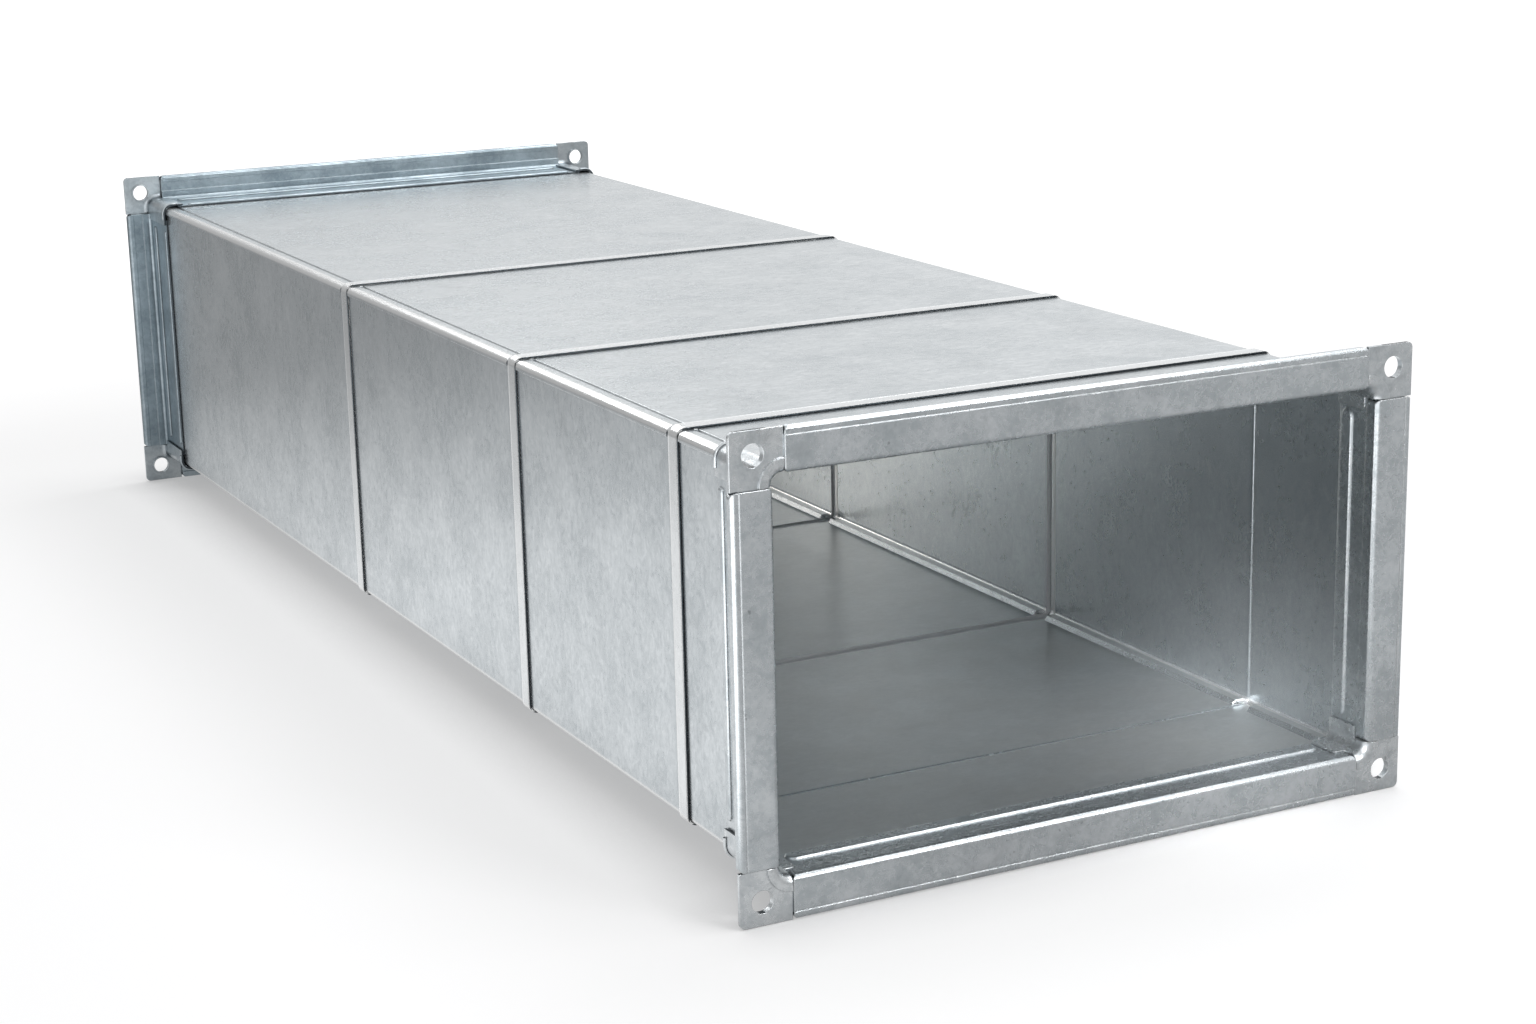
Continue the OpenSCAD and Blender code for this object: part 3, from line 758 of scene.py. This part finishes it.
def addCollar(tree, vector, values, look, inner, frontEdge):
    # A swaged collar: painted highlights on its land, rims and step outside, painted shade behind its
    # shoulder, and inside a painted highlight line along its step and groove
    collar = placed(tree, "collar", vector, -1700, -1200, Front_edge=frontEdge)
    shine = values["grooveShine"]
    shown = mapped(tree, inner["Mask"], zeroToOne, (1.0, shine), -1500, -1350)
    # painted highlight line inside along the collar's step and groove
    groove = maths(tree, "MULTIPLY", collar["Land"], swageValues["grooveLand"], -1450, -1650)
    groove = maths(tree, "MAXIMUM", collar["Step"], groove, -1300, -1600)
    groove = maths(tree, "MULTIPLY", groove, inner["Mask"], -1200, -1600)
    groove = maths(tree, "MULTIPLY", groove, shine, -1150, -1700)
    look["lines"] = maths(tree, "MAXIMUM", groove, look["lines"], -1100, -1600)
    # painted highlight: the collar's land made paler
    land = maths(tree, "MULTIPLY", collar["Land"], swageValues["land"], -1300, -1200)
    land = maths(tree, "MULTIPLY", land, shown, -1150, -1200)
    # painted highlights along the collar's rims and step
    raised = maths(tree, "MAXIMUM", collar["Rim"], collar["Step"], -700, -300)
    raised = maths(tree, "MULTIPLY", raised, shown, -600, -350)
    look["shiny"] = maths(tree, "MAXIMUM", look["shiny"], raised, -500, -400)
    colour = mixed(tree, land, look["colour"], values["rubbed"], -50, 600)
    # painted shade: darker in the valley behind the collar's shoulder
    look["colour"] = tinted(tree, colour, values["dark"], collar["Valley"], swageValues["valley"], 0, 450)
    look["rim"] = collar["Rim"]


def makeFinish(name, values, frontEdge=None, rearEdge=None):
    # A course has a rear edge, and a front edge where it has a collar; flange pieces have neither
    material, tree = newMaterial(name)
    vector = newNode(tree, "ShaderNodeTexCoord", -2000, 0).outputs["Object"]
    inner = None
    if rearEdge is not None:
        inner = placed(tree, "inner", vector, -1700, -1800, Rear_edge=rearEdge)
    look = sheetLook(tree, vector, values, inner)
    if rearEdge is not None:
        addInside(tree, vector, values, look, inner)
    if frontEdge is not None:
        addCollar(tree, vector, values, look, inner, frontEdge)
    # rubbed parts and painted highlights, then the dark of creases (painted shade), pits, and cut edges
    # (bare steel with painted shade)
    colour = mixed(tree, look["shiny"], look["colour"], values["rubbed"], 150, 450)
    # painted shade in creases
    crease = placed(tree, "crease", None, -1700, -1500)["Mask"]
    crease = maths(tree, "MULTIPLY", crease, sheetValues["grime"], -500, -750)
    dark = maths(tree, "MAXIMUM", crease, look["pit"], -300, -600)
    cut = placed(tree, "cut", vector, -1700, -600)["Mask"]
    dark = maths(tree, "MAXIMUM", cut, dark, -100, -600)
    colour = mixed(tree, dark, colour, sheetValues["bareSteel"], 300, 450)
    rough = mapped(tree, look["tone"], zeroToOne, reversed(values["rough"]), -600, 0)
    rough = mixed(tree, look["shiny"], rough, values["rubbedRough"], 0, 0, "FLOAT")
    metallic = values["metallic"]
    if rearEdge is not None:
        rough = mixed(tree, look["dust"], rough, insideValues["dustRough"], 150, 0, "FLOAT")
        # inside lines: painted highlights, pale, rougher and less metallic
        rough = mixed(tree, look["lines"], rough, insideValues["lineRough"], 200, 0, "FLOAT")
        metallic = mixed(tree, look["dust"], metallic, insideValues["dustMetallic"], 150, 150, "FLOAT")
        metallic = mixed(tree, look["lines"], metallic, insideValues["lineMetallic"], 250, 150, "FLOAT")
        colour = mixed(tree, look["lines"], colour, values["rubbed"], 350, 600)
    depth = sheetValues["reliefDepth"]
    normal = bumped(tree, look["height"], look["normal"], values["bump"], depth, 0, -300)
    if frontEdge is not None:
        strength, depth = swageValues["rimStrength"], swageValues["rimDepth"]
        normal = bumped(tree, look["rim"], normal, strength, depth, 200, -500)
    metal = newNode(tree, "ShaderNodeBsdfPrincipled", 500, 0)
    feed(tree, metal.inputs["Base Color"], colour)
    feed(tree, metal.inputs["Metallic"], metallic)
    feed(tree, metal.inputs["Roughness"], rough)
    feed(tree, metal.inputs["Normal"], normal)
    output = newNode(tree, "ShaderNodeOutputMaterial", 800, 0)
    feed(tree, output.inputs["Surface"], metal.outputs[0])
    return material


def endsOf(nodeName):
    low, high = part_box(nodeName)
    return low[1], high[1]


# Zinc finishes of the kinds of piece: crystals, patches, scratches and stain are scales, shares those
# of crystals, patches and grain in the tone, rough goes from light to dark parts, edge is a radius,
# and the shares of edge wear with painted edge highlights, smudge, scratch, pit, calm, and of dust with
# painted shade on the inner floor say how strong each is
finishValues = {
    "bodySheet": {
        "dark": (0.48, 0.52, 0.545, 1), "light": (0.66, 0.70, 0.725, 1), "rubbed": (0.95, 0.96, 0.965, 1),
        "crystals": 380.0, "patches": 24.0, "stretch": (60.0, 115.0, 75.0), "scratches": 60.0,
        "shares": (0.07, 0.45, 0.48), "rough": (0.22, 0.3), "rubbedRough": 0.2, "bump": 0.008,
        "edge": 0.0005, "wear": 0.8, "stain": 30.0, "smudge": 0.15, "scratch": 0.28, "pit": 0.1,
        "metallic": 0.86, "calm": 0.35, "dust": (0.44, 0.45, 0.44, 1), "dusty": 0.62,
    },
    "frontRail": {
        "dark": (0.48, 0.525, 0.55, 1), "light": (0.69, 0.725, 0.75, 1), "rubbed": (0.74, 0.765, 0.78, 1),
        "crystals": 480.0, "patches": 40.0, "stretch": (70.0, 120.0, 70.0), "scratches": 70.0,
        "shares": (0.1, 0.6, 0.3), "rough": (0.24, 0.31), "rubbedRough": 0.45, "bump": 0.004,
        "edge": 0.001, "wear": 0.9, "stain": 45.0, "smudge": 0.25, "scratch": 0.2, "pit": 0.4,
        "metallic": 0.86,
    },
    # darker, bluer copy of the front rails' finish: painted shade on the rear flange
    "rearRail": {
        "dark": (0.24, 0.295, 0.33, 1), "light": (0.40, 0.465, 0.505, 1), "rubbed": (0.80, 0.845, 0.87, 1),
        "crystals": 480.0, "patches": 30.0, "stretch": (60.0, 120.0, 60.0), "scratches": 70.0,
        "shares": (0.1, 0.6, 0.3), "rough": (0.28, 0.38), "rubbedRough": 0.42, "bump": 0.008,
        "edge": 0.0006, "wear": 0.15, "stain": 40.0, "smudge": 0.3, "scratch": 0.04, "pit": 0.1,
        "metallic": 0.94,
    },
    "frontCorner": {
        "dark": (0.54, 0.58, 0.605, 1), "light": (0.77, 0.80, 0.82, 1), "rubbed": (0.95, 0.955, 0.96, 1),
        "crystals": 520.0, "patches": 70.0, "stretch": (160.0, 160.0, 160.0), "scratches": 120.0,
        "shares": (0.1, 0.7, 0.2), "rough": (0.24, 0.34), "rubbedRough": 0.28, "bump": 0.01,
        "edge": 0.0006, "wear": 0.2, "stain": 110.0, "smudge": 0.4, "scratch": 0.15, "pit": 0.6,
        "metallic": 0.86,
    },
    # darker, bluer copy of the front corners' finish: painted shade on the rear flange
    "rearCorner": {
        "dark": (0.36, 0.405, 0.435, 1), "light": (0.53, 0.575, 0.60, 1), "rubbed": (0.80, 0.83, 0.85, 1),
        "crystals": 520.0, "patches": 60.0, "stretch": (160.0, 160.0, 160.0), "scratches": 120.0,
        "shares": (0.1, 0.7, 0.2), "rough": (0.3, 0.38), "rubbedRough": 0.4, "bump": 0.004,
        "edge": 0.0006, "wear": 0.1, "stain": 110.0, "smudge": 0.3, "scratch": 0.0, "pit": 0.3,
        "metallic": 0.9,
    },
}

# The second course gets no painted highlight lines in its groove inside, and the front course has no
# collar
finishes = {}
for course in ("front", "second", "third", "rear"):
    frontEdge, rearEdge = endsOf(course + "_course_upper_sheet")
    if course == "front":
        frontEdge, rearEdge = None, innerValues["noEdge"]
    values = {**finishValues["bodySheet"], "grooveShine": 0.0 if course == "second" else 1.0}
    finishes[course + "Course"] = makeFinish(course + "Course", values, frontEdge, rearEdge)
for name in ("frontRail", "rearRail", "frontCorner", "rearCorner"):
    finishes[name] = makeFinish(name, finishValues[name])


def finishOf(nodeName):
    place = nodeName.split("_")[0]
    if nodeName.endswith("sheet"):
        return finishes[place + "Course"]
    return finishes[place + ("Rail" if "_rail_" in nodeName else "Corner")]


for nodeName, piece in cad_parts.items():
    piece.data.materials.clear()
    piece.data.materials.append(finishOf(nodeName))
print("finishes set")
